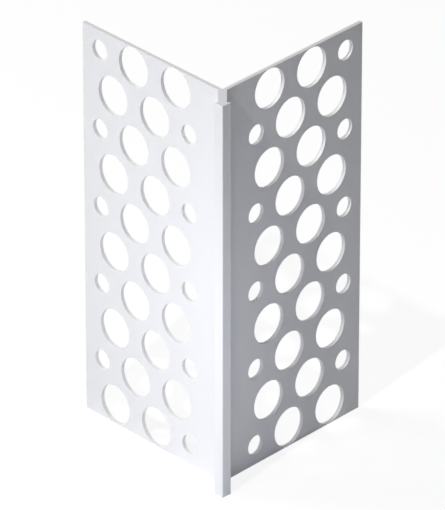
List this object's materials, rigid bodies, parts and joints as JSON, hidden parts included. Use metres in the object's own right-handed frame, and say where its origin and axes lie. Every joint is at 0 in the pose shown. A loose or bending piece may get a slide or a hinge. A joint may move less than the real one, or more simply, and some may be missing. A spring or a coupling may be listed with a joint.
{
  "type": "angle bead",
  "caption": "Rigid plastic angle bead for an external plastered corner: two perforated wings and an arrow-shaped nose, extruded as one piece and cut short.",
  "frame": {"origin": "the arris, where the back faces of the two wings meet, at the lower sawn end", "axes": "+Z along the extrusion, upwards; -Y out through the nose; +X to the right of the nose"},
  "size_m": [0.063, 0.042, 0.1],
  "materials": {
    "rigid_pvc": "satin white"
  },
  "bodies": {
    "root": {"angle_bead": "rigid_pvc"}
  },
  "joints": []
}
